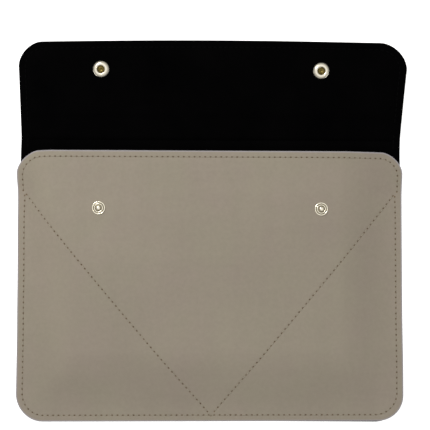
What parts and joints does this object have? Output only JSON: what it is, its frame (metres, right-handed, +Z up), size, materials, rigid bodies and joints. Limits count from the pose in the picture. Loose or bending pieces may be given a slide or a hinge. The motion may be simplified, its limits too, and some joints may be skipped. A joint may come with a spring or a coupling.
{
  "type": "tablet case",
  "caption": "Envelope-style tablet sleeve with a folding flap, a V of stitching on its raised front and press studs that close it.",
  "frame": {"origin": "centre of the back panel's outer face, which the case lies on", "axes": "+Z up through the front panel, +Y from the closed bottom edge to the flap, +X along the long side"},
  "size_m": [0.3204, 0.3116, 0.0183],
  "materials": {
    "leatherette": "matt",
    "suede": "napped",
    "board": "plain",
    "taupe_thread": "twisted",
    "black_thread": "twisted",
    "elastic": "woven",
    "champagne_nickel": "polished",
    "dull_brass": "satin"
  },
  "bodies": {
    "pocket": {"back_cover": "leatherette", "back_stiffener": "board", "back_lining": "suede", "front_cover": "leatherette", "front_stiffener": "board", "front_lining": "suede", "seam_thread": "taupe_thread", "mouth_thread": "taupe_thread", "envelope_thread": "taupe_thread", "pen_loop": "elastic", "pen_loop_thread": "black_thread", "left_front_snap_stud": "champagne_nickel", "right_front_snap_stud": "champagne_nickel", "left_front_snap_eyelet": "dull_brass", "right_front_snap_eyelet": "dull_brass"},
    "spine": {"spine_cover": "leatherette", "spine_lining": "suede", "left_spine_thread": "black_thread", "right_spine_thread": "black_thread"},
    "flap": {"flap_cover": "leatherette", "flap_stiffener": "board", "flap_lining": "suede", "flap_thread": "black_thread", "left_flap_snap_cap": "champagne_nickel", "right_flap_snap_cap": "champagne_nickel", "left_flap_snap_socket": "champagne_nickel", "right_flap_snap_socket": "champagne_nickel", "left_socket_spring": "dull_brass", "right_socket_spring": "dull_brass"}
  },
  "joints": [
    {"name": "spine_fold", "type": "hinge", "parent": "pocket", "child": "spine", "pos_m": [0, 0.1112, 0.002], "axis": [1, 0, 0], "range_deg": [-5, 85]},
    {"name": "flap_fold", "type": "hinge", "parent": "spine", "child": "flap", "pos_m": [0, 0.12993, 0.00364], "axis": [1, 0, 0], "range_deg": [-2, 85]}
  ]
}
